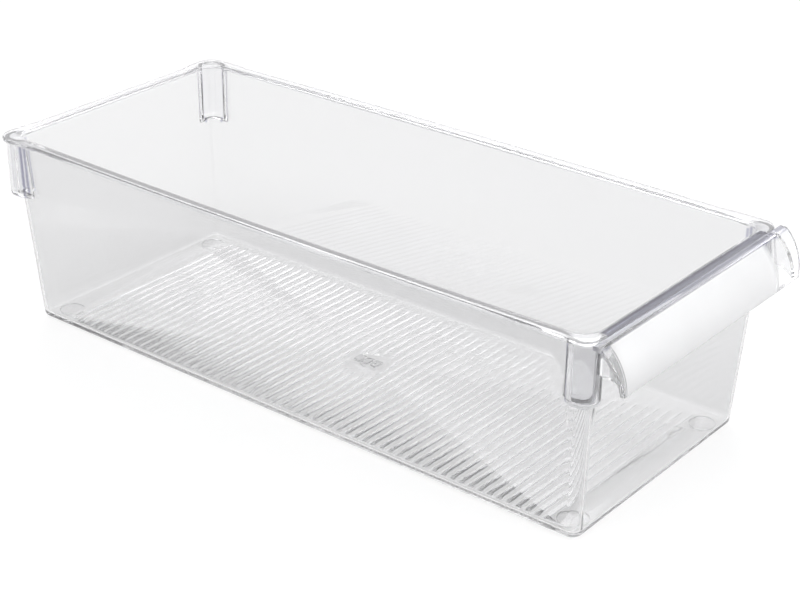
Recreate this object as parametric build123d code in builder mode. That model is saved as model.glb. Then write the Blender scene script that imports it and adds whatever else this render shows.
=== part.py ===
from build123d import *
import os

os.makedirs("parts", exist_ok=True)

# Millimetres. X is side to side, Y is front to back with the grip at -Y, Z is up.
# The origin is on the floor, in the middle of the whole object's footprint.

# Bin
rim_length = 355.0  # outside of the rim, front to back
rim_width = 151.0  # outside of the rim at its ends, side to side
end_draft = 9.0  # how far each end wall leans in from the rim's edge to the base
side_draft = 9.2
bin_height = 102.0  # floor to the top of the rim
wall = 2.0
floor_thickness = 2.4
side_bow = 2.3  # swelling of each long side at mid-length, at the rim
wall_corner_radius = 6.0  # outside of the walls under the rim
base_corner_radius = 5.5
base_edge_radius = 2.5
inside_edge_radius = 1.5

# Rim
rim_ledge = 2.9  # how far the rim stands out from the wall
rim_depth = 2.4
rim_corner_radius = 8.0
ear_overhang = 1.4  # how far the rim swells out past its own edge at each corner
ear_side_reach = 26.0
ear_end_reach = 19.0
ear_step_radius = 1.2

# Corner pockets, which swell the walls out under each corner of the rim and are closed by it
pocket_drop = 32.2  # rim top down to the underside of a pocket
pocket_side_reach = 14.0  # along a side wall, from the pocket's outer corner
pocket_end_reach = 12.0
pocket_setback = 0.2  # pocket face behind the plain edge of the rim
pocket_corner_radius = 6.6
pocket_step_radius = 2.0
pocket_bottom_radius = 1.6
pocket_inner_radius = 0.6

# Ribbed floor panel, and the plain disc round the moulding gate
rib_pitch = 5.15
rib_width = 2.4
rib_height = 0.5
rib_side_gap = 3.0  # plain strip between the ribs and each side wall
rib_end_gap = 17.0  # plain strip between the ribs and each end wall
gate_disc_diameter = 22.0
gate_dimple_diameter = 9.0
gate_dimple_depth = 0.6

# Grip along the front
grip_overhang = 0.5  # how far the grip runs past the plain edge of the rim, at its top
grip_taper = 4.0  # how much shorter each end of the grip is at its lower edge
grip_reach = 13.8  # how far it stands out in front of the rim
grip_height = 21.0  # rim top down to the grip's lower edge
grip_thickness = 2.2
grip_flat = 3.5  # level strip in front of the rim before the curve starts
grip_crease_radius = 1.5
grip_tip_radius = 0.9
seat_width = 3.6  # strip of the grip that lies on the front rim
seat_end_gap = 11.0  # rim edge to the end of that strip
seat_depth = 1.2
web_thickness = 2.5
web_inset = 8.5  # end of the grip to the middle of a web
web_drop = 17.2  # rim top down to the foot of a web, at the bin
web_hollow = 1.7  # rise of the curve in a web's lower edge
grip_clearance = 0.15

# Foot pads
foot_diameter = 13.0
foot_stand = 0.8  # how far a pad stands below the bin
foot_recess = 0.8
foot_edge_radius = 0.3
foot_clearance = 0.15
foot_side_inset = 6.8  # edge of the base to the edge of a pad
foot_end_inset = 4.0

# Places worked out from the sizes above
bin_y = (grip_reach - ear_overhang) / 2
base_width = rim_width - 2 * side_draft
base_length = rim_length - 2 * end_draft
floor_top = foot_stand + floor_thickness
wall_top_width = rim_width - 2 * rim_ledge
wall_top_length = rim_length - 2 * rim_ledge
inside_base_width = base_width - 2 * wall
inside_base_length = base_length - 2 * wall
rim_front_y = bin_y - rim_length / 2
rim_underside = bin_height - rim_depth
pocket_underside = bin_height - pocket_drop
pocket_face_y = rim_front_y + pocket_setback
rib_length = inside_base_width - 2 * rib_side_gap
rib_count = int((inside_base_length - 2 * rib_end_gap) / rib_pitch) + 1
seat_half_length = rim_width / 2 - seat_end_gap
seat_height = bin_height - seat_depth
seat_inner_y = rim_front_y + seat_width
grip_back_y = rim_front_y - grip_clearance
grip_tip_y = rim_front_y - grip_reach
grip_tip_z = bin_height - grip_height
grip_length = rim_width + 2 * grip_overhang
grip_foot_length = grip_length - 2 * grip_taper * bin_height / grip_height
web_x = grip_length / 2 - web_inset
corners = [(side, end) for side in (-1, 1) for end in (-1, 1)]
foot_x = base_width / 2 - foot_side_inset - foot_diameter / 2
foot_y = base_length / 2 - foot_end_inset - foot_diameter / 2


def outline(height, width, length, radius, bow):
    """A rounded rectangle whose long sides bow outwards at mid-length."""
    side_end = length / 2 - radius
    end_side = width / 2 - radius
    with BuildSketch(Plane.XY.offset(height)) as shape:
        with BuildLine():
            for side, end in corners:
                Line((0, bin_y + end * length / 2), (side * end_side, bin_y + end * length / 2))
                CenterArc(
                    (side * end_side, bin_y + end * side_end),
                    radius,
                    {(1, 1): 0, (-1, 1): 90, (-1, -1): 180, (1, -1): 270}[side, end],
                    90,
                )
            for side in (-1, 1):
                low = (side * width / 2, bin_y - side_end)
                high = (side * width / 2, bin_y + side_end)
                if bow > 0:
                    ThreePointArc(low, (side * (width / 2 + bow), bin_y), high)
                else:
                    Line(low, high)
        make_face()
    return shape.sketch


def corner_block(side, end, height, side_inset, end_inset, reach, corner_radius, step_radius):
    """A rectangle set at one corner of the rim, with its outer corner rounded."""
    end_reach, side_reach = reach
    outer_x = side * (rim_width / 2 - side_inset)
    outer_y = bin_y + end * (rim_length / 2 - end_inset)
    with BuildSketch(Plane.XY.offset(height)) as shape:
        with Locations((outer_x - side * end_reach / 2, outer_y - end * side_reach / 2)):
            Rectangle(end_reach, side_reach)
        fillet(shape.vertices().sort_by_distance((outer_x, outer_y, height))[1:3], step_radius)
        fillet(shape.vertices().sort_by_distance((outer_x, outer_y, height))[0], corner_radius)
    return shape.sketch


# Outside of the bin below its rim
with BuildPart() as bin_outside:
    add(outline(foot_stand, base_width, base_length, base_corner_radius, 0))
    add(outline(bin_height, wall_top_width, wall_top_length, wall_corner_radius, side_bow))
    loft(ruled=True)
    fillet(bin_outside.faces().sort_by(Axis.Z)[0].edges(), base_edge_radius)

# Space inside the bin
with BuildPart() as bin_inside:
    add(outline(floor_top, inside_base_width, inside_base_length, base_corner_radius - wall, 0))
    add(
        outline(
            bin_height,
            wall_top_width - 2 * wall,
            wall_top_length - 2 * wall,
            wall_corner_radius - wall,
            side_bow,
        )
    )
    loft(ruled=True)
    fillet(bin_inside.faces().sort_by(Axis.Z)[0].edges(), inside_edge_radius)

# Outside of the four corner pockets
with BuildPart() as pocket_posts:
    for side, end in corners:
        add(
            corner_block(
                side,
                end,
                pocket_underside,
                pocket_setback,
                pocket_setback,
                (pocket_end_reach, pocket_side_reach),
                pocket_corner_radius,
                pocket_step_radius,
            )
        )
    extrude(amount=rim_underside - pocket_underside)
    fillet(pocket_posts.edges().group_by(Axis.Z)[0], pocket_bottom_radius)

# The bin: walls, pockets and rim, with the space inside cut away and the floor ribbed
with BuildPart() as bin_tub:
    add(bin_outside.part)
    add(pocket_posts.part)
    add(outline(rim_underside, rim_width, rim_length, rim_corner_radius, side_bow))
    for side, end in corners:
        add(
            corner_block(
                side,
                end,
                rim_underside,
                -ear_overhang,
                -ear_overhang if end > 0 else 0,
                (ear_end_reach, ear_side_reach),
                rim_corner_radius,
                ear_step_radius,
            )
        )
    extrude(amount=rim_depth)
    add(bin_inside.part, mode=Mode.SUBTRACT)
    for side, end in corners:
        add(
            corner_block(
                side,
                end,
                pocket_underside + wall,
                pocket_setback + wall,
                pocket_setback + wall,
                (pocket_end_reach - 2 * wall, pocket_side_reach - 2 * wall),
                pocket_corner_radius - wall,
                pocket_inner_radius,
            )
        )
    extrude(amount=rim_underside - pocket_underside - wall, mode=Mode.SUBTRACT)

    # Step in the front rim, where the grip sits
    with BuildSketch(Plane.XY.offset(seat_height)):
        with Locations((0, rim_front_y)):
            Rectangle(
                2 * (seat_half_length + grip_clearance),
                2 * (seat_width + grip_clearance),
            )
    extrude(amount=seat_depth, mode=Mode.SUBTRACT)

    # Ribs run from side to side and leave a plain disc round the gate
    with BuildSketch(Plane.XY.offset(floor_top)):
        with Locations((0, bin_y)):
            with GridLocations(0, rib_pitch, 1, rib_count):
                Rectangle(rib_length, rib_width)
            Circle(gate_disc_diameter / 2, mode=Mode.SUBTRACT)
    extrude(amount=rib_height)

    # Gate dimple and foot recesses in the underside
    with BuildSketch(Plane.XY.offset(foot_stand)):
        with Locations((0, bin_y)):
            Circle(gate_dimple_diameter / 2)
    extrude(amount=gate_dimple_depth, mode=Mode.SUBTRACT)
    with BuildSketch(Plane.XY.offset(foot_stand)):
        with Locations((0, bin_y)):
            with GridLocations(2 * foot_x, 2 * foot_y, 2, 2):
                Circle(foot_diameter / 2 + foot_clearance)
    extrude(amount=foot_recess, mode=Mode.SUBTRACT)
bin_tub.part.label = "bin_tub"
export_step(bin_tub.part, "parts/bin_tub.step")

# The grip: a curved skin, two webs that stand against the pockets, and a strip on the front rim
with BuildPart() as front_handle:
    with BuildSketch(Plane.YZ.offset(-grip_length / 2)) as grip_section:
        with BuildLine() as grip_line:
            curve = TangentArc(
                (grip_tip_y, grip_tip_z),
                (rim_front_y - grip_flat, bin_height),
                tangent=(0, 1),
            )
            Line(curve @ 1, (grip_back_y, bin_height))
            fillet(grip_line.vertices().sort_by_distance(curve @ 1)[0], grip_crease_radius)
            offset(amount=grip_thickness, side=Side.RIGHT)
        make_face()
        fillet(grip_section.vertices().group_by(Axis.Y)[0], grip_tip_radius)
    extrude(amount=grip_length)

    # Its ends lean in towards the lower edge
    with BuildSketch(Plane.XZ.offset(-bin_y)):
        Polygon(
            (-grip_length / 2, bin_height),
            (grip_length / 2, bin_height),
            (grip_foot_length / 2, 0),
            (-grip_foot_length / 2, 0),
            align=None,
        )
    extrude(amount=rim_length, mode=Mode.INTERSECT)

    for side in (-1, 1):
        with BuildSketch(Plane.YZ.offset(side * web_x - web_thickness / 2)):
            with BuildLine():
                web_front = TangentArc(
                    (grip_tip_y + grip_thickness / 2, grip_tip_z + grip_tip_radius),
                    (rim_front_y - grip_flat, bin_height - grip_thickness / 2),
                    tangent=(0, 1),
                )
                Polyline(
                    web_front @ 1,
                    (grip_back_y, bin_height - grip_thickness / 2),
                    (grip_back_y, rim_underside - grip_clearance),
                    (pocket_face_y, rim_underside - grip_clearance),
                    (pocket_face_y, bin_height - web_drop),
                )
                SagittaArc((pocket_face_y, bin_height - web_drop), web_front @ 0, web_hollow)
            make_face()
        extrude(amount=web_thickness)

    with BuildSketch(Plane.XY.offset(seat_height)):
        with Locations((0, (grip_back_y - grip_clearance + seat_inner_y) / 2)):
            Rectangle(2 * seat_half_length, seat_inner_y - grip_back_y + grip_clearance)
    extrude(amount=seat_depth)
front_handle.part.label = "front_handle"
export_step(front_handle.part, "parts/front_handle.step")

# Four foot pads, one in each recess of the base
for side, side_name in ((-1, "left"), (1, "right")):
    for end, end_name in ((-1, "front"), (1, "back")):
        with BuildPart() as foot:
            with BuildSketch():
                with Locations((side * foot_x, bin_y + end * foot_y)):
                    Circle(foot_diameter / 2)
            extrude(amount=foot_stand + foot_recess)
            fillet(foot.edges().group_by(Axis.Z)[0], foot_edge_radius)
        foot.part.label = f"foot_{end_name}_{side_name}"
        export_step(foot.part, f"parts/foot_{end_name}_{side_name}.step")
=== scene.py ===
import math

import bmesh
import bpy
from mathutils import Matrix, Vector


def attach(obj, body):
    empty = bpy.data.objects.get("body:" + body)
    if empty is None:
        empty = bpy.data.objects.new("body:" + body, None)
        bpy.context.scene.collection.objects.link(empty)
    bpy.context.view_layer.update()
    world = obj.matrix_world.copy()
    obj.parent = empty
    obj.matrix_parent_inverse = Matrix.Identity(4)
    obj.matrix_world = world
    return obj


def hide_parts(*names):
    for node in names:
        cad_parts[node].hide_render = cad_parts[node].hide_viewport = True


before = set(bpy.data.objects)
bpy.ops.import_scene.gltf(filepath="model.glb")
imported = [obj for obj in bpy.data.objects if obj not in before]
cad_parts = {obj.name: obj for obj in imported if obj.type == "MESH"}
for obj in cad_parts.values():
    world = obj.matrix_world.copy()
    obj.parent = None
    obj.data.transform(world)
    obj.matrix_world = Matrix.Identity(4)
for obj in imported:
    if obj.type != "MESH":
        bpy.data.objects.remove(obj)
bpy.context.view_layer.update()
scene = bpy.context.scene
mm = 0.001
far = 1000.0  # past the ends of every piece, in millimetres


# ---- small helpers for shader nodes
class Sock:
    # one output socket, so that shader maths can be written as plain sums
    def __init__(self, nodes, socket):
        self.nodes = nodes
        self.socket = socket

    def __add__(self, other):
        return self.nodes.maths("ADD", self, other)

    def __radd__(self, other):
        return self.nodes.maths("ADD", other, self)

    def __sub__(self, other):
        return self.nodes.maths("SUBTRACT", self, other)

    def __rsub__(self, other):
        return self.nodes.maths("SUBTRACT", other, self)

    def __mul__(self, other):
        return self.nodes.maths("MULTIPLY", self, other)

    def __rmul__(self, other):
        return self.nodes.maths("MULTIPLY", other, self)

    def __abs__(self):
        return self.nodes.maths("ABSOLUTE", self)


class Nodes:
    def __init__(self, owner):
        owner.use_nodes = True
        self.tree = owner.node_tree
        self.tree.nodes.clear()

    # a node type, its settings, and the values or links of its inputs
    def add(self, kind, settings=None, inputs=None, out=0):
        node = self.tree.nodes.new(kind)
        for name, value in (settings or {}).items():
            setattr(node, name, value)
        for name, value in (inputs or {}).items():
            socket = self.find(node.inputs, name)
            if isinstance(value, Sock):
                self.tree.links.new(value.socket, socket)
            else:
                socket.default_value = value
        return Sock(self, self.find(node.outputs, out)) if node.outputs else None

    def find(self, sockets, key):
        # a Mix node has several sockets of one name, and only one of them is in use
        if isinstance(key, int):
            return sockets[key]
        return next(s for s in sockets if s.name == key and s.enabled)

    def maths(self, operation, *values):
        return self.add("ShaderNodeMath", {"operation": operation}, dict(enumerate(values)))

    def fade(self, value, none, full):
        # 0 at one value and 1 at the other, smooth between them
        return self.add(
            "ShaderNodeMapRange",
            {"interpolation_type": "SMOOTHSTEP"},
            {"Value": value, "From Min": none, "From Max": full, "To Min": 0.0, "To Max": 1.0},
            out="Result",
        )

    def band(self, value, ends, soft):
        # 1 between two values, with short fades inside them
        low, high = ends
        return self.fade(value, low, low + soft) * self.fade(value, high, high - soft)

    def noise(self, place, scale, detail):
        inputs = {"Vector": place, "Scale": scale, "Detail": detail}
        return self.add("ShaderNodeTexNoise", {}, inputs, out="Fac")

    def bump(self, height, strength, distance):
        inputs = {"Height": height, "Strength": strength, "Distance": distance}
        return self.add("ShaderNodeBump", {}, inputs)

    def mixColour(self, share, first, second):
        inputs = {"Factor": share, "A": first, "B": second}
        return self.add("ShaderNodeMix", {"data_type": "RGBA"}, inputs, out="Result")

    def mixShader(self, share, first, second):
        return self.add("ShaderNodeMixShader", {}, {0: share, 1: first, 2: second})

    def background(self, glossyShare):
        # 1 where the camera looks, or looks through clear plastic, and a share in reflections
        camera, glossy, through = [
            self.add("ShaderNodeLightPath", out=f"Is {kind} Ray")
            for kind in ("Camera", "Glossy", "Transmission")
        ]
        return self.maths("MINIMUM", camera + glossyShare * glossy + through, 1.0)


def newMaterial(name):
    material = bpy.data.materials.new(name)
    return material, Nodes(material)


# ---- how every plastic piece is made up
moulding = {
    "flow": (22.0, 7.0, 16.0),  # scale of the slow flow marks, which run along the bin
    "ripple": 60.0,  # scale of the finer ripple
    "rippleShare": 0.25,
    "waveDepth": 0.002,
    "scuff": 35.0,  # scale of the scuffs
    "polish": (0.6, 0.8),  # share of the roughness everywhere, and what scuffs add to it
    "milk": (0.96, 0.96, 0.975),
    "milkShares": (0.8, 0.4),  # share of the scatter everywhere, and what scuffs add to it
    "milkFade": 1.0,
}


def zone(shade, across=(-far, far), along=(-far, far), up=(-far, far)):
    # a place with a tint of painted light and shade, set by how light falls there. Across counts from
    # the middle, to both sides alike
    return {"tint": shade[0], "soft": shade[1], "across": across, "along": along, "up": up}


def makeFrosting(n, frosting, place):
    # a fine grain that scatters the light that comes through, with some white in it
    grain = n.noise(place, frosting["grain"], 2.0)
    normal = n.bump(grain, frosting["grainStrength"], frosting["grainDepth"])
    clouded = n.add(
        "ShaderNodeBsdfPrincipled",
        {},
        {
            "Base Color": (*frosting["clouded"], 1),
            "Roughness": frosting["cloudedRoughness"],
            "IOR": frosting["cloudedIor"],
            "Transmission Weight": 1.0,
            "Normal": normal,
        },
    )
    white = n.add(
        "ShaderNodeBsdfPrincipled",
        {},
        {
            "Base Color": (*frosting["white"], 1),
            "Roughness": frosting["whiteRoughness"],
            "Normal": normal,
        },
    )
    return n.mixShader(frosting["whiteShare"], clouded, white)


def makePlastic(name, look):
    material, n = newMaterial(name)
    place = n.add("ShaderNodeTexCoord", out="Object")
    # in millimetres, as the sizes of the pieces are
    across, along, up = [
        n.add("ShaderNodeSeparateXYZ", {}, {"Vector": place}, out=axis) * (1 / mm) for axis in "XYZ"
    ]
    stretched = n.add("ShaderNodeMapping", {}, {"Vector": place, "Scale": moulding["flow"]})
    flow = n.noise(stretched, 1.0, 2.0)
    ripple = n.noise(place, moulding["ripple"], 1.0)
    scuff = n.noise(place, moulding["scuff"], 4.0)
    # the tint wanders with the flow marks, and may deepen from the back to the front
    depth = flow
    if "frontDeep" in look:
        back, front, share = look["frontDeep"]
        depth = share * n.fade(along, back, front) + (1 - share) * flow
    colour = n.mixColour(depth, (*look["tint"], 1), (*look["tintDeep"], 1))
    # the zones lay painted shade and painted light over the tint
    for part in look.get("zones", ()):
        inside = n.band(abs(across), part["across"], part["soft"])
        inside = inside * n.band(along, part["along"], part["soft"])
        inside = inside * n.band(up, part["up"], part["soft"])
        colour = n.mixColour(inside, colour, (*part["tint"], 1))
    everywhere, scuffed = moulding["polish"]
    waves = flow + moulding["rippleShare"] * ripple
    shader = n.add(
        "ShaderNodeBsdfPrincipled",
        {},
        {
            "Base Color": colour,
            "Roughness": look["roughness"] * (everywhere + scuffed * scuff),
            "IOR": look["ior"],
            "Transmission Weight": 1.0,
            "Normal": n.bump(waves, look["waviness"], moulding["waveDepth"]),
        },
    )
    if "frosting" in look:
        frosting = look["frosting"]
        nearEnd, farEnd = frosting["ends"]
        nearFade, farFade = frosting["endFades"]
        most, flowMore = frosting["shares"]
        inMiddle = n.fade(across, nearEnd, nearEnd + nearFade) * n.fade(across, farEnd + farFade, farEnd)
        inFront = n.fade(along, frosting["back"], frosting["back"] - frosting["backFade"])
        share = frosting["cover"] * (most + flowMore * flow) * inMiddle * inFront
        shader = n.mixShader(share, shader, makeFrosting(n, frosting, place))
    if "cloud" in look:
        # a trace of scatter, which keeps the edges grey where light is trapped in them
        milk = n.add("ShaderNodeBsdfDiffuse", {}, {"Color": (*moulding["milk"], 1)})
        everywhere, scuffed = moulding["milkShares"]
        share = look["cloud"] * (everywhere + scuffed * scuff)
        if "rimCloud" in look:
            foot = look["rimFoot"]
            share = share + look["rimCloud"] * n.fade(up, foot, foot + moulding["milkFade"])
        shader = n.mixShader(share, shader, milk)
    n.add("ShaderNodeOutputMaterial", {}, {"Surface": shader})
    return material


# ---- mesh helpers
def shadeSmooth(obj, angle):
    mesh = obj.data
    mesh.polygons.foreach_set("use_smooth", [True] * len(mesh.polygons))
    mesh.set_sharp_from_angle(angle=math.radians(angle))


def toObject(bm, name, material):
    mesh = bpy.data.meshes.new(name)
    bm.to_mesh(mesh)
    bm.free()
    obj = bpy.data.objects.new(name, mesh)
    scene.collection.objects.link(obj)
    mesh.materials.append(material)
    shadeSmooth(obj, 32)  # two steps of a bevel meet at less
    return obj


def combine(obj, other, operation, crossing=False):
    # joins or cuts two closed solids and keeps the result as plain mesh
    boolean = obj.modifiers.new("combine", "BOOLEAN")
    boolean.operation = operation
    boolean.object = other
    boolean.solver = "EXACT"
    boolean.use_self = crossing
    graph = bpy.context.evaluated_depsgraph_get()
    made = bpy.data.meshes.new_from_object(obj.evaluated_get(graph))
    obj.modifiers.clear()
    old = obj.data
    obj.data = made
    made.name = obj.name
    bpy.data.meshes.remove(old)
    spent = other.data
    bpy.data.objects.remove(other)
    bpy.data.meshes.remove(spent)


def addBox(bm, size, middle):
    made = bmesh.ops.create_cube(bm, size=1)["verts"]
    bmesh.ops.scale(bm, vec=tuple(v * mm for v in size), verts=made)
    bmesh.ops.translate(bm, vec=tuple(v * mm for v in middle), verts=made)


def addDisc(bm, lowRadius, highRadius, height, middle, segments=48):
    bmesh.ops.create_cone(
        bm,
        cap_ends=True,
        segments=segments,
        radius1=lowRadius * mm,
        radius2=highRadius * mm,
        depth=height * mm,
        matrix=Matrix.Translation(tuple(v * mm for v in middle)),
    )


def vertsOf(geom):
    return [v for v in geom if isinstance(v, bmesh.types.BMVert)]


def between(a, b, share):
    return tuple(u + (v - u) * share for u, v in zip(a, b))


def smoothStep(x):
    x = min(max(x, 0.0), 1.0)
    return x * x * (3 - 2 * x)


def roundSteps(radius, steps):
    # a quarter round from a level face to an upright one: the rise and what is left to go, at each step
    turns = [math.radians(90 * i / steps) for i in range(steps + 1)]
    return [(radius * (1 - math.cos(a)), radius * (1 - math.sin(a))) for a in turns]


# ---- the tub, in millimetres until it is finished
tub = {
    "middleY": 6.2,
    "bottom": 0.8,
    "floorTop": 3.2,
    "top": 102.0,
    "baseHalf": (66.3, 168.5),
    "wallTopHalf": (72.6, 174.6),
    "baseRadius": 5.5,
    "wallTopRadius": 6.0,
    "leastRadius": 0.8,  # where an inner corner would close up
    "bow": 2.3,  # how far the long sides swell at the top
    "wall": 2.0,
    "baseRound": 2.5,
    "floorRound": 1.5,
    "rimHalf": (75.5, 177.5),
    "rimRadius": 8.0,
    "rimUnder": 99.6,
    "rimRound": 0.7,
    "ear": 1.4,
    "earReach": (19.0, 26.0),  # along an end, along a side
    "pocketHalf": (75.3, 177.3),
    "pocketRadius": 6.6,
    "pocketReach": (13.0, 14.0),
    "lipRadius": 9.5,  # inside corner of the rim, which closes the top of each pocket
    "lipRound": 0.5,
    "lipDepth": 2.1,
    "pocketUnder": 69.8,
    "pocketRound": 2.6,
    "hollowRound": 1.2,  # at the foot of a pocket's inside
    "cornerTurns": 10,
    "smoothAngle": 30,
    # how ears and pockets step out of a straight run: where it begins, from their edge, and how wide
    "stepOut": {"ear": (-8.0, 12.0), "outer": (-1.6, 4.2), "inner": (1.0, 1.7)},
    # points along half a straight run: shares of it, and closer ones by each edge
    "runs": {
        "half": (66.5, 168.8),
        "shares": (0, 0.25, 0.5, 0.7, 0.84),
        "byEar": (-8.0, -6.0, -4.0, -2.0, 0.0, 2.0, 4.0),
        "byPocket": (-1.6, -0.9, -0.3, 0.3, 0.9, 1.5, 2.1, 2.7, 3.2, 3.7),
    },
    # heights of rings that only divide a wall, and rings that hold a crease: how far from it they
    # are, and how far out they stand on the level face beside it, as a share
    "rings": {
        "wall": (14, 28, 42, 56),
        "highWall": 66,
        "outerPocket": (78, 86, 93),
        "innerPocket": (98, 92, 85, 78),
        "belowPocket": 0.5,
        "abovePocket": 0.05,
        "pocketShare": 0.12,
        "belowRim": 0.4,
        "rimShare": 0.12,
        "belowLip": (0.3, 0.4),
        "lipShare": 0.15,
        "belowHollow": (0.05, 0.6),
        "hollowShare": 0.1,
    },
}
ribs = {
    "pitch": 5.15,
    "halfWidth": 2.2,
    "halfHeight": 0.5,
    "sink": 0.17,
    "runOut": 2.5,  # each end slopes into the floor
    "endSink": 0.05,
    "halfLength": 61.6,
    "count": 59,
    "disc": 11.0,  # radius of the plain floor round the gate
}
gateMark = {"count": 3, "length": 5.6, "width": 3.7, "height": 0.9}


def cornerEdges(axis):
    # where the ears and pockets begin, from the middle of an end (0) or of a side (1)
    ear = tub["rimHalf"][axis] + tub["ear"] - tub["earReach"][axis]
    pocket = tub["pocketHalf"][axis] - tub["pocketReach"][axis]
    return {"ear": ear, "outer": pocket, "inner": pocket}


# ---- its clear plastic
clearPlastic = {
    "tint": (0.865, 0.865, 0.869),
    "tintDeep": (0.83, 0.83, 0.836),
    "frontDeep": (160.0, -170.0, 0.85),  # the tint deepens from the back to the front
    "roughness": 0.015,
    "ior": 1.57,
    "waviness": 0.015,  # strength of the moulded ripple
    "cloud": 0.034,  # share of light that the plastic scatters
    "rimCloud": 0.2,  # what the rim adds to it
    # painted shade and painted light: tints that differ from the plain wall, and how softly they begin
    "paintedShades": {
        "floor": ((0.91, 0.91, 0.914), 1.0),  # painted light: paler, as the lamps reach it from both sides
        "frontPocket": ((0.69, 0.69, 0.708), 4.0),  # painted shade: darker where the pockets double the plastic
        # painted shade: the back pockets a little darker than the wall
        "backPocket": ((0.85, 0.85, 0.862), 4.0),
        "pocketStep": ((0.32, 0.32, 0.42), 0.5),  # painted shade: dark lines on the steps, seen edge on
        # painted shade: the bars at the gate darker than the floor
        "gateBars": ((0.6, 0.6, 0.61), 0.3),
        # painted light: the rim paler than the wall, which lifts its dark edges
        "rim": ((0.955, 0.955, 0.968), 1.0),
    },
    # how far they reach past the edges that they follow
    "reach": {
        "floor": 1.3,
        "pocketSide": 0.8,
        "pocketFoot": 2.3,
        "step": (0.3, 1.9),  # the narrow band on a step, from the edge of the pocket
        "stepFrom": (3.2, 4.2),  # where the bands begin, along an end and along a side
        "stepFoot": 0.8,
        "gateBars": (0.8, 1.6, 0.2),  # across, along and above the floor
        "rim": 1.1,
    },
}


def stretch(side, start, end):
    # part of the length, counted from the tub's middle to the front (-1) or to the back (1)
    return tuple(sorted((tub["middleY"] + side * start, tub["middleY"] + side * end)))


def tubZones():
    # places the painted shade and painted light of the clear plastic on the tub
    paintedShades, reach = clearPlastic["paintedShades"], clearPlastic["reach"]
    edgeX, edgeY = (cornerEdges(axis)["outer"] for axis in (0, 1))
    margin = reach["pocketSide"]
    low, high = reach["step"]
    fromX, fromY = reach["stepFrom"]
    rimFoot = tub["rimUnder"] - reach["rim"]
    pocketUp = (tub["pocketUnder"] - reach["pocketFoot"], far)
    stepUp = (tub["pocketUnder"] - reach["stepFoot"], rimFoot)
    zones = [zone(paintedShades["floor"], up=(-far, tub["floorTop"] + reach["floor"]))]
    for side, name in ((-1, "frontPocket"), (1, "backPocket")):
        along = stretch(side, edgeY - margin, far)
        zones.append(zone(paintedShades[name], (edgeX - margin, far), along, pocketUp))
        # the step that runs across the bin, and the one along it
        along = stretch(side, edgeY + low, edgeY + high)
        zones.append(zone(paintedShades["pocketStep"], (edgeX + fromX, far), along, stepUp))
        along = stretch(side, edgeY + fromY, far)
        zones.append(zone(paintedShades["pocketStep"], (edgeX + low, edgeX + high), along, stepUp))
    moreX, moreY, moreUp = reach["gateBars"]
    across = (-far, gateMark["length"] / 2 + moreX)
    reachY = ribs["pitch"] + gateMark["width"] / 2 + moreY
    up = (tub["floorTop"] + moreUp, far)
    zones.append(zone(paintedShades["gateBars"], across, stretch(1, -reachY, reachY), up))
    zones.append(zone(paintedShades["rim"], up=(rimFoot, far)))
    return zones


clearPlastic["zones"] = tubZones()
clearPlastic["rimFoot"] = tub["rimUnder"] - clearPlastic["reach"]["rim"]
tubMaterial = makePlastic("clear moulded plastic", clearPlastic)
print("clear plastic made")


# ---- the tub's walls, ring by ring
def stepPlaces(axis):
    # places along half a straight run, as shares of it
    runs, edges = tub["runs"], cornerEdges(axis)
    half = runs["half"][axis]
    places = [share * half for share in runs["shares"]]
    places += [edges["ear"] + away for away in runs["byEar"]]
    places += [edges["outer"] + away for away in runs["byPocket"]]
    return [place / half for place in sorted(places) if place < half - 0.1]


def ringPlan():
    # every point round the tub: which run (0 an end, 1 a side) or corner (2) it belongs to, its
    # place or turn there, and its share of each step
    turns = [math.radians(90 * i / tub["cornerTurns"]) for i in range(tub["cornerTurns"] + 1)]
    plan = []

    def straight(axis, sign, t):
        point = {"axis": axis, "sign": sign, "t": t, "back": (t if axis else sign) > 0}
        place = abs(t) * tub["runs"]["half"][axis]
        for name, edge in cornerEdges(axis).items():
            start, width = tub["stepOut"][name]
            point[name] = smoothStep((place - edge - start) / width)
        return point

    def corner(x, y, backwards):
        for turn in reversed(turns) if backwards else turns:
            point = {"axis": 2, "x": x, "y": y, "turn": turn, "back": y > 0}
            plan.append({**point, "ear": 1.0, "outer": 1.0, "inner": 1.0})

    end, side = stepPlaces(0), stepPlaces(1)
    end = [-t for t in reversed(end[1:])] + end
    side = [-t for t in reversed(side[1:])] + side
    plan += [straight(1, 1, t) for t in side]
    corner(1, 1, False)
    plan += [straight(0, 1, t) for t in reversed(end)]
    corner(-1, 1, True)
    plan += [straight(1, -1, t) for t in reversed(side)]
    corner(-1, -1, False)
    plan += [straight(0, -1, t) for t in end]
    corner(1, -1, True)
    return plan


def ringPoint(point, half, radius, bow):
    # a point on a rounded rectangle whose long sides swell
    if point["axis"] == 2:
        return (
            point["x"] * (half[0] - radius + radius * math.cos(point["turn"])),
            point["y"] * (half[1] - radius + radius * math.sin(point["turn"])),
        )
    if point["axis"] == 1:
        swell = bow * (1 - point["t"] ** 2)
        return point["sign"] * (half[0] + swell), point["t"] * (half[1] - radius)
    return point["t"] * (half[0] - radius), point["sign"] * half[1]


def smaller(half, inset):
    return half[0] - inset, half[1] - inset


def wallPlace(point, z, inset, pocket=0.0, pocketInset=0.0, which="outer"):
    # a point on the wall at height z, drawn out to the pocket by its share
    share = (z - tub["bottom"]) / (tub["top"] - tub["bottom"])
    half = between(tub["baseHalf"], tub["wallTopHalf"], share)
    radius = tub["baseRadius"] + (tub["wallTopRadius"] - tub["baseRadius"]) * share
    radius = max(radius - inset, tub["leastRadius"])
    wall = ringPoint(point, smaller(half, inset), radius, tub["bow"] * share)
    radius = max(tub["pocketRadius"] - pocketInset, tub["leastRadius"])
    swollen = ringPoint(point, smaller(tub["pocketHalf"], pocketInset), radius, 0)
    return between(wall, swollen, pocket * point[which])


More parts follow.
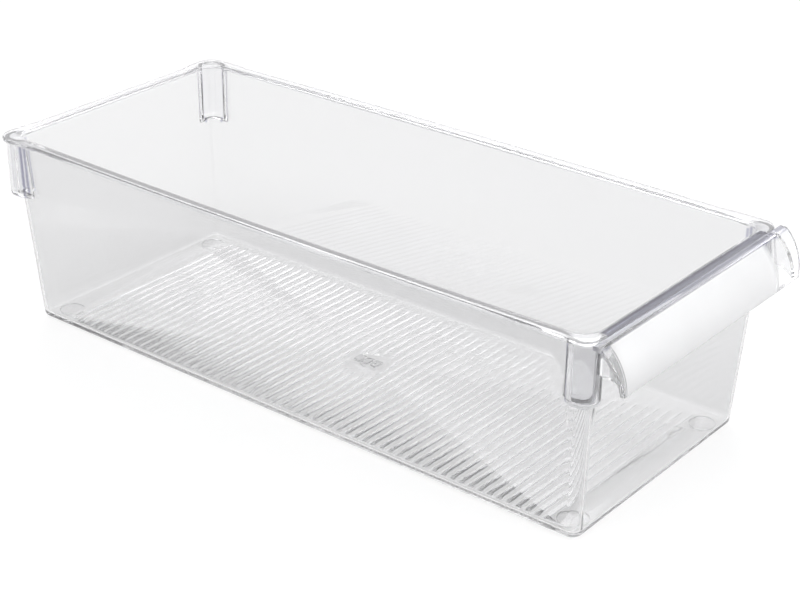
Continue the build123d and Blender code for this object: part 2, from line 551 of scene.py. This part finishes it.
def lipPlace(point, inset):
    # the inside edge of the rim, round at its corners
    half = smaller(tub["wallTopHalf"], inset)
    return ringPoint(point, half, tub["lipRadius"] - inset + tub["wall"], tub["bow"])


def rimPlace(point, inset):
    half, radius = tub["rimHalf"], tub["rimRadius"] - inset
    plain = ringPoint(point, smaller(half, inset), radius, tub["bow"])
    # the front ears stand out to the sides only
    grow = tub["ear"] - inset
    eared = ringPoint(point, (half[0] + grow, half[1] + (grow if point["back"] else -inset)), radius, 0)
    return between(plain, eared, point["ear"])


def tubLevels():
    # one entry per ring, from the underside, up the outside, over the rim and down to the floor:
    # its height, and where it puts each point of the plan
    levels = []
    rings = tub["rings"]
    wall, under, rimUnder, top = (tub[k] for k in ("wall", "pocketUnder", "rimUnder", "top"))
    lipFoot = top - tub["lipDepth"]
    inside = under + wall

    def addWall(z, inset=0.0, pocket=0.0, pocketInset=0.0):
        levels.append((z, lambda p: wallPlace(p, z, inset, pocket, pocketInset)))

    def addInner(z, inset=wall, pocket=0.0, pocketInset=wall):
        levels.append((z, lambda p: wallPlace(p, z, inset, pocket, pocketInset, "inner")))

    def addRim(z, inset):
        levels.append((z, lambda p: rimPlace(p, inset)))

    def addLip(z, inset):
        levels.append((z, lambda p: lipPlace(p, inset)))

    def underRim(p):
        return between(wallPlace(p, rimUnder, 0, 1.0), rimPlace(p, tub["rimRound"]), rings["rimShare"])

    def underLip(p):
        pocket = wallPlace(p, lipFoot, wall, 1.0, wall, "inner")
        return between(lipPlace(p, wall), pocket, rings["lipShare"])

    # base, wall and the foot of the pockets
    for rise, inset in roundSteps(tub["baseRound"], 4):
        addWall(tub["bottom"] + rise, inset)
    for z in (*rings["wall"], rings["highWall"], under - rings["belowPocket"]):
        addWall(z)
    addWall(under, 0, rings["pocketShare"], tub["pocketRound"])
    for rise, inset in roundSteps(tub["pocketRound"], 4):
        addWall(under + rings["abovePocket"] + rise, 0, 1.0, inset)
    for z in (*rings["outerPocket"], rimUnder - rings["belowRim"]):
        addWall(z, 0, 1.0)
    # the rim, out, up and in
    levels.append((rimUnder, underRim))
    for rise, inset in roundSteps(tub["rimRound"], 3):
        addRim(rimUnder + rise, inset)
    for inset, drop in roundSteps(tub["rimRound"], 3):
        addRim(top - drop, inset)
    for drop, left in roundSteps(tub["lipRound"], 3):
        addLip(top - drop, wall - left)
    addLip(lipFoot, wall)
    levels.append((lipFoot - rings["belowLip"][0], underLip))
    # the insides of the pockets, then the wall and the rounded edge of the floor
    for z in (lipFoot - rings["belowLip"][1], *rings["innerPocket"]):
        addInner(z, pocket=1.0)
    for inset, left in roundSteps(tub["hollowRound"], 3):
        addInner(inside + left, pocket=1.0, pocketInset=wall + inset)
    below, lower = rings["belowHollow"]
    addInner(inside - below, pocket=rings["hollowShare"], pocketInset=wall + tub["hollowRound"])
    for z in (inside - lower, *reversed(rings["wall"])):
        addInner(z)
    for inset, left in roundSteps(tub["floorRound"], 4):
        addInner(tub["floorTop"] + left, wall + inset)
    return levels


def makeTub():
    plan = ringPlan()
    levels = tubLevels()
    bm = bmesh.new()
    ring = bmesh.ops.create_circle(bm, cap_ends=True, segments=len(plan), radius=1)["verts"]
    ring.sort(key=lambda v: math.atan2(v.co.y, v.co.x) % (2 * math.pi))

    def place(verts, level):
        z, where = level
        for vert, point in zip(verts, plan):
            x, y = where(point)
            vert.co = (x * mm, (y + tub["middleY"]) * mm, z * mm)

    place(ring, levels[0])
    edges = [bm.edges.get((a, b)) for a, b in zip(ring, ring[1:] + ring[:1])]
    for level in levels[1:]:
        fresh = set(vertsOf(bmesh.ops.extrude_edge_only(bm, edges=edges)["geom"]))
        ring = [next(e.other_vert(v) for e in v.link_edges if e.other_vert(v) in fresh) for v in ring]
        place(ring, level)
        edges = [bm.edges.get((a, b)) for a, b in zip(ring, ring[1:] + ring[:1])]
    bmesh.ops.contextual_create(bm, geom=edges)
    bmesh.ops.remove_doubles(bm, verts=bm.verts, dist=1e-6)
    bmesh.ops.recalc_face_normals(bm, faces=bm.faces)
    return toObject(bm, "bin_tub_clear", tubMaterial)


tubPiece = makeTub()
print("tub walls made", len(tubPiece.data.vertices))


# ---- ribs on the floor, cut short round the gate, and three bars at the gate
def makeRib(bm, low, high, y):
    # a low swelling from side to side
    straight = high - low - 2 * ribs["runOut"]
    made = bmesh.ops.create_cone(
        bm,
        cap_ends=True,
        segments=24,
        radius1=1.0,
        radius2=1.0,
        depth=1.0,
        matrix=Matrix.Rotation(math.radians(90), 4, "Y"),
    )["verts"]
    size = (straight * mm, ribs["halfWidth"] * mm, ribs["halfHeight"] * mm)
    bmesh.ops.scale(bm, vec=size, verts=made)
    middle = (tub["floorTop"] - ribs["sink"]) * mm
    bmesh.ops.translate(bm, vec=((low + high) / 2 * mm, y * mm, middle), verts=made)
    ends = [f for f in {f for v in made for f in v.link_faces} if len(f.verts) > 4]
    for end in bmesh.ops.extrude_discrete_faces(bm, faces=ends)["faces"]:
        away = math.copysign(ribs["runOut"], end.calc_center_median().x / mm - (low + high) / 2)
        drop = -(ribs["halfHeight"] - ribs["sink"] + ribs["endSink"])
        bmesh.ops.translate(bm, vec=(away * mm, 0, drop * mm), verts=end.verts)


def makeRibs():
    bm = bmesh.new()
    half, disc = ribs["halfLength"], ribs["disc"]
    for i in range(ribs["count"]):
        away = (i - (ribs["count"] - 1) / 2) * ribs["pitch"]
        y = tub["middleY"] + away
        if abs(away) < disc:
            gap = math.sqrt(disc**2 - away**2)
            makeRib(bm, -half, -gap, y)
            makeRib(bm, gap, half, y)
        else:
            makeRib(bm, -half, half, y)
        if abs(away) < gateMark["count"] / 2 * ribs["pitch"]:
            size = (gateMark["length"], gateMark["width"], 2 * gateMark["height"])
            addBox(bm, size, (0, y, tub["floorTop"]))
    return toObject(bm, "ribs", tubMaterial)


combine(tubPiece, makeRibs(), "UNION")
print("ribs joined", len(tubPiece.data.vertices))

# ---- hollows: foot recesses, gate dimple and the step for the grip
pads = {
    "diameter": 13.0,
    "stand": 0.8,
    "depth": 0.8,
    "x": 53.0,
    "y": 158.0,
    "gap": 0.15,
    "topGap": 0.03,
    "round": 0.3,
}
dimple = {"radius": 4.5, "topRadius": 3.9, "depth": 0.6}
seat = {"halfLength": 64.5, "width": 3.6, "depth": 1.2, "frontY": -171.3, "gap": 0.04}


def makeHollows():
    # each reaches as far out of the plastic as it goes in
    bm = bmesh.new()
    radius = pads["diameter"] / 2 + pads["gap"]
    for x in (-pads["x"], pads["x"]):
        for y in (-pads["y"], pads["y"]):
            addDisc(bm, radius, radius, 2 * pads["depth"], (x, y + tub["middleY"], tub["bottom"]))
    middle = (0, tub["middleY"], tub["bottom"])
    addDisc(bm, dimple["radius"], dimple["topRadius"], 2 * dimple["depth"], middle, segments=32)
    wide = 2 * (seat["halfLength"] + seat["gap"])
    deep = seat["width"] + seat["gap"]
    addBox(bm, (wide, 2 * deep, 2 * seat["depth"]), (0, seat["frontY"], tub["top"]))
    return toObject(bm, "hollows", tubMaterial)


combine(tubPiece, makeHollows(), "DIFFERENCE")
shadeSmooth(tubPiece, tub["smoothAngle"])
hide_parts("bin_tub")
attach(tubPiece, "root")
print("tub finished", len(tubPiece.data.polygons))

# ---- the grip: curved skin, two webs and the strip on the rim
grip = {
    "tip": (-185.1, 81.0),  # front lower edge, Y and Z
    "top": 102.0,
    "flatFrom": -174.8,  # where the curve meets the level strip
    "flatMiddle": -173.0,
    "back": -171.34,
    "thickness": 2.2,
    "halfTop": 76.0,
    "taper": 4.0,  # how far the ends lean in, most of it near the lower edge
    "taperPower": 1.3,
    "curveSteps": 18,
    "edgeRound": 0.7,
    "smoothAngle": 30,
}
web = {
    "x": 67.5,
    "thickness": 2.5,
    "foot": 84.8,
    "back": -171.15,
    "hollow": 1.7,  # rise of the arc along its lower edge
    "hollowSteps": 6,
    "tipRise": 0.9,
    "notch": (-171.8, 99.4),  # Y and Z of the corner that clears the bin's rim
    "top": 101.0,
    "turns": (50, 38, 26, 14),  # degrees along the skin's curve
}
strip = {"front": 1.0, "gap": 0.02}  # how far it goes into the skin, and the play in its height
gripPlastic = {
    "tint": (0.972, 0.973, 0.978),
    "tintDeep": (0.955, 0.957, 0.963),
    "roughness": 0.02,
    "ior": 1.57,
    "waviness": 0.04,
    "cloud": 0.02,
    "frosting": {
        "ends": (-70.5, 50.0),  # across, short of the far web
        "endFades": (1.0, 6.0),
        "back": -175.5,  # on the outer face of the skin
        "backFade": 0.6,
        "cover": 0.95,
        "shares": (0.85, 0.15),  # share of the cover everywhere, and what the flow marks add to it
        "grain": 900.0,
        "grainStrength": 0.12,
        "grainDepth": 0.0004,
        "clouded": (0.995, 0.995, 0.997),
        "cloudedRoughness": 0.5,
        "cloudedIor": 1.3,
        "white": (0.97, 0.972, 0.975),
        "whiteRoughness": 0.35,
        "whiteShare": 0.65,
    },
    # painted shade: a dark band on the strip laid on the rim, seen edge on
    "zones": [
        zone(
            ((0.44, 0.44, 0.51), 0.7),
            along=(grip["flatFrom"] + 0.2, far),
            up=(grip["top"] - 4.5, far),
        )
    ],
}
gripMaterial = makePlastic("grip plastic", gripPlastic)


def skinRadius():
    # of the curve that starts upright at the tip and ends on the level strip
    run, rise = grip["flatFrom"] - grip["tip"][0], grip["top"] - grip["tip"][1]
    return (run**2 + rise**2) / (2 * run)


def makeSkin():
    tipY, tipZ = grip["tip"]
    radius, thickness = skinRadius(), grip["thickness"]
    bm = bmesh.new()
    left = -grip["halfTop"] * mm
    a = bm.verts.new((left, tipY * mm, tipZ * mm))
    b = bm.verts.new((left, (tipY + thickness) * mm, tipZ * mm))
    made = bmesh.ops.spin(
        bm,
        geom=[bm.edges.new((a, b))],
        cent=(left, (tipY + radius) * mm, tipZ * mm),
        axis=(-1, 0, 0),
        angle=math.asin((grip["top"] - tipZ) / radius),
        steps=grip["curveSteps"],
    )["geom_last"]
    # the level strip behind the crease, mitred where the curve ends
    inner, outer = sorted(vertsOf(made), key=lambda v: v.co.z)
    under = grip["top"] - thickness
    mitre = math.sqrt((radius - thickness) ** 2 - (under - tipZ) ** 2)
    inner.co.y = (tipY + radius) * mm - mitre * mm
    inner.co.z = under * mm
    lastEdge = bm.edges.get((outer, inner))
    for y in (grip["flatMiddle"], grip["back"]):
        pair = vertsOf(bmesh.ops.extrude_edge_only(bm, edges=[lastEdge])["geom"])
        low, high = sorted(pair, key=lambda v: v.co.z)
        high.co.y, high.co.z = y * mm, grip["top"] * mm
        low.co.y, low.co.z = y * mm, under * mm
        lastEdge = bm.edges.get((high, low))
    end = vertsOf(bmesh.ops.extrude_face_region(bm, geom=bm.faces[:])["geom"])
    bmesh.ops.translate(bm, vec=(2 * grip["halfTop"] * mm, 0, 0), verts=end)
    # the ends lean in towards the lower edge
    for v in bm.verts:
        drop = (grip["top"] - v.co.z / mm) / (grip["top"] - tipZ)
        lean = grip["taper"] * mm * max(drop, 0) ** grip["taperPower"]
        v.co.x -= math.copysign(lean, v.co.x)
    bmesh.ops.recalc_face_normals(bm, faces=bm.faces)
    sharp = math.radians(28)
    edges = [e for e in bm.edges if len(e.link_faces) == 2 and e.calc_face_angle() > sharp]
    bmesh.ops.bevel(
        bm,
        geom=edges,
        offset=grip["edgeRound"] * mm,
        affect="EDGES",
        segments=3,
        profile=0.5,
        material=-1,
        clamp_overlap=True,
    )
    return toObject(bm, "front_handle_skin", gripMaterial)


def addWeb(bm, x):
    # a plate whose lower edge is a shallow arc from the bin to the tip of the skin
    half = web["thickness"] / 2 * mm
    tipY, tipZ = grip["tip"]
    radius, into = skinRadius(), grip["thickness"] / 2
    notchY, notchZ = (v * mm for v in web["notch"])
    back = (web["back"] * mm, web["foot"] * mm)
    front = ((tipY + into) * mm, (tipZ + web["tipRise"]) * mm)
    corners = [back, (web["back"] * mm, notchZ), (notchY, notchZ), (notchY, web["top"] * mm)]
    for turn in web["turns"]:
        reach = (radius - into) * mm
        y = (tipY + radius) * mm - reach * math.cos(math.radians(turn))
        corners.append((y, tipZ * mm + reach * math.sin(math.radians(turn))))
    corners.append(front)
    for i in range(1, web["hollowSteps"]):
        share = i / web["hollowSteps"]
        y, z = between(front, back, share)
        corners.append((y, z + 4 * web["hollow"] * mm * share * (1 - share)))
    face = bm.faces.new([bm.verts.new((x * mm - half, y, z)) for y, z in corners])
    side = vertsOf(bmesh.ops.extrude_face_region(bm, geom=[face])["geom"])
    bmesh.ops.translate(bm, vec=(2 * half, 0, 0), verts=side)


def makeWebs():
    # the webs, and the strip that fills the step in the rim
    bm = bmesh.new()
    for x in (-web["x"], web["x"]):
        addWeb(bm, x)
    back = seat["frontY"] + seat["width"]
    front = seat["frontY"] - strip["front"]
    size = (2 * seat["halfLength"], back - front, seat["depth"] - strip["gap"])
    addBox(bm, size, (0, (back + front) / 2, tub["top"] - seat["depth"] / 2))
    bmesh.ops.recalc_face_normals(bm, faces=bm.faces)
    return toObject(bm, "webs", gripMaterial)


gripPiece = makeSkin()
combine(gripPiece, makeWebs(), "UNION", crossing=True)
shadeSmooth(gripPiece, grip["smoothAngle"])
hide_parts("front_handle")
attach(gripPiece, "root")
print("grip made", len(gripPiece.data.polygons))

# ---- foot pads
padPlastic = {
    "tint": (0.99, 0.991, 0.994),
    "tintDeep": (0.98, 0.981, 0.986),
    "roughness": 0.02,
    "ior": 1.32,
    "waviness": 0.04,
}
padMaterial = makePlastic("soft pad plastic", padPlastic)


def makePad(name, x, y):
    bm = bmesh.new()
    radius = pads["diameter"] / 2
    tall = pads["stand"] + pads["depth"] - pads["topGap"]
    addDisc(bm, radius, radius, tall, (x, y + tub["middleY"], tall / 2))
    level = [e for e in bm.edges if abs(e.verts[0].co.z - e.verts[1].co.z) < 1e-7]
    bmesh.ops.bevel(
        bm,
        geom=level,
        offset=pads["round"] * mm,
        affect="EDGES",
        segments=3,
        profile=0.5,
        material=-1,
    )
    return toObject(bm, name, padMaterial)


for x, side in ((-pads["x"], "left"), (pads["x"], "right")):
    for y, end in ((-pads["y"], "front"), (pads["y"], "back")):
        pad = makePad(f"foot_pad_{end}_{side}", x, y)
        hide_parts(f"foot_{end}_{side}")
        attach(pad, "root")
print("pads made")

# ---- white studio: floor, backdrop, pale cards and soft lamps
studio = {
    "aim": (0, 0, 0.05),
    "floorSize": 9.0,
    "floorDrop": 0.0004,  # keeps it clear of the pads
    "floorShade": 0.25,
    "floorGlow": 0.77,  # what the camera and the clear plastic see of the floor
    "farGlow": 0.13,  # the lamps don't reach the far floor, so it glows a little more
    "farFade": (0.5, 2.2),
    "worldShade": 0.62,
    "worldGlossy": 0.5,  # share of white that reflections see
    "cards": [
        # middle and size of the cards that give the clear edges their lines
        ((-1.3, -1.9, 1.5), (1.6, 1.2)),
        ((1.9, -0.4, 0.5), (0.5, 1.0)),
        ((-1.5, 1.2, 0.5), (0.5, 0.9)),
    ],
    "cardColour": (0.8, 0.8, 0.96),
    "lamps": [
        # middle, size and power
        ((-0.9, -0.2, 1.7), (1.1, 1.1), 13.0),
        ((1.0, 0.9, 1.5), (1.2, 0.9), 11.0),
        ((0.5, -2.0, 0.8), (1.1, 0.8), 24.5),
    ],
}


def aim(obj):
    turn = (Vector(studio["aim"]) - obj.location).to_track_quat("-Z", "Y")
    obj.rotation_euler = turn.to_euler()


def makeFloor():
    material, n = newMaterial("white floor")
    matt = n.add("ShaderNodeBsdfDiffuse", {}, {"Color": (studio["floorShade"],) * 3 + (1,)})
    place = n.add("ShaderNodeTexCoord", out="Object")
    away = n.add("ShaderNodeVectorMath", {"operation": "LENGTH"}, {0: place}, out="Value")
    level = studio["floorGlow"] + studio["farGlow"] * n.fade(away, *studio["farFade"])
    glow = {"Color": (1, 1, 1, 1), "Strength": level * n.background(1.0)}
    both = n.add("ShaderNodeAddShader", {}, {0: matt, 1: n.add("ShaderNodeEmission", {}, glow)})
    # seen from below, the floor is left out
    below = n.add("ShaderNodeNewGeometry", out="Backfacing")
    both = n.mixShader(below, both, n.add("ShaderNodeBsdfTransparent"))
    n.add("ShaderNodeOutputMaterial", {}, {"Surface": both})
    bm = bmesh.new()
    bmesh.ops.create_grid(bm, x_segments=1, y_segments=1, size=studio["floorSize"] / 2)
    floor = toObject(bm, "studio_floor", material)
    floor.location.z = -studio["floorDrop"]


def makeCard(i, middle, size):
    material, n = newMaterial(f"pale card {i}")
    matt = n.add("ShaderNodeBsdfDiffuse", {}, {"Color": (*studio["cardColour"], 1)})
    n.add("ShaderNodeOutputMaterial", {}, {"Surface": matt})
    bm = bmesh.new()
    made = bmesh.ops.create_grid(bm, x_segments=1, y_segments=1, size=0.5)["verts"]
    bmesh.ops.scale(bm, vec=(*size, 1), verts=made)
    card = toObject(bm, f"studio_card_{i}", material)
    card.location = middle
    aim(card)
    card.visible_camera = False


def makeLamp(i, middle, size, power):
    data = bpy.data.lights.new(f"soft lamp {i}", "AREA")
    data.shape = "RECTANGLE"
    data.size, data.size_y = size
    data.energy = power
    lamp = bpy.data.objects.new(f"soft_lamp_{i}", data)
    scene.collection.objects.link(lamp)
    lamp.location = middle
    aim(lamp)


def makeWorld():
    world = bpy.data.worlds.new("white room")
    scene.world = world
    n = Nodes(world)
    white = n.background(studio["worldGlossy"])
    level = studio["worldShade"] + (1 - studio["worldShade"]) * white
    air = n.add("ShaderNodeBackground", {}, {"Color": (1, 1, 1, 1), "Strength": level})
    n.add("ShaderNodeOutputWorld", {}, {"Surface": air})


makeFloor()
for i, (middle, size) in enumerate(studio["cards"]):
    makeCard(i, middle, size)
for i, (middle, size, power) in enumerate(studio["lamps"]):
    makeLamp(i, middle, size, power)
makeWorld()
print("studio made")

# ---- camera, as the photograph was taken
view = {
    "place": (-636.46, -524.01, 448.35),
    "azimuth": -51.2417,
    "elevation": 26.4045,
    "roll": 0.3526,
    "lens": 84.87,
    "sensor": 36.0,
    "clip": (0.01, 50.0),
}


def makeCamera():
    azimuth, elevation, roll = (math.radians(view[k]) for k in ("azimuth", "elevation", "roll"))
    level = math.cos(elevation)
    back = Vector((math.sin(azimuth) * level, -math.cos(azimuth) * level, math.sin(elevation)))
    right = Vector((0, 0, 1)).cross(back).normalized()
    up = back.cross(right)
    rolledRight = math.cos(roll) * right + math.sin(roll) * up
    rolledUp = -math.sin(roll) * right + math.cos(roll) * up
    data = bpy.data.cameras.new("camera")
    data.lens = view["lens"]
    data.sensor_width = view["sensor"]
    data.clip_start, data.clip_end = view["clip"]
    camera = bpy.data.objects.new("camera", data)
    scene.collection.objects.link(camera)
    turn = Matrix((rolledRight, rolledUp, back)).transposed()
    camera.matrix_world = Matrix.Translation(Vector(view["place"]) * mm) @ turn.to_4x4()
    scene.camera = camera


makeCamera()
scene.view_settings.view_transform = "Standard"
scene.cycles.max_bounces = 28
scene.cycles.transmission_bounces = 24
scene.cycles.glossy_bounces = 12
scene.cycles.diffuse_bounces = 3
scene.cycles.transparent_max_bounces = 16
print("camera set")
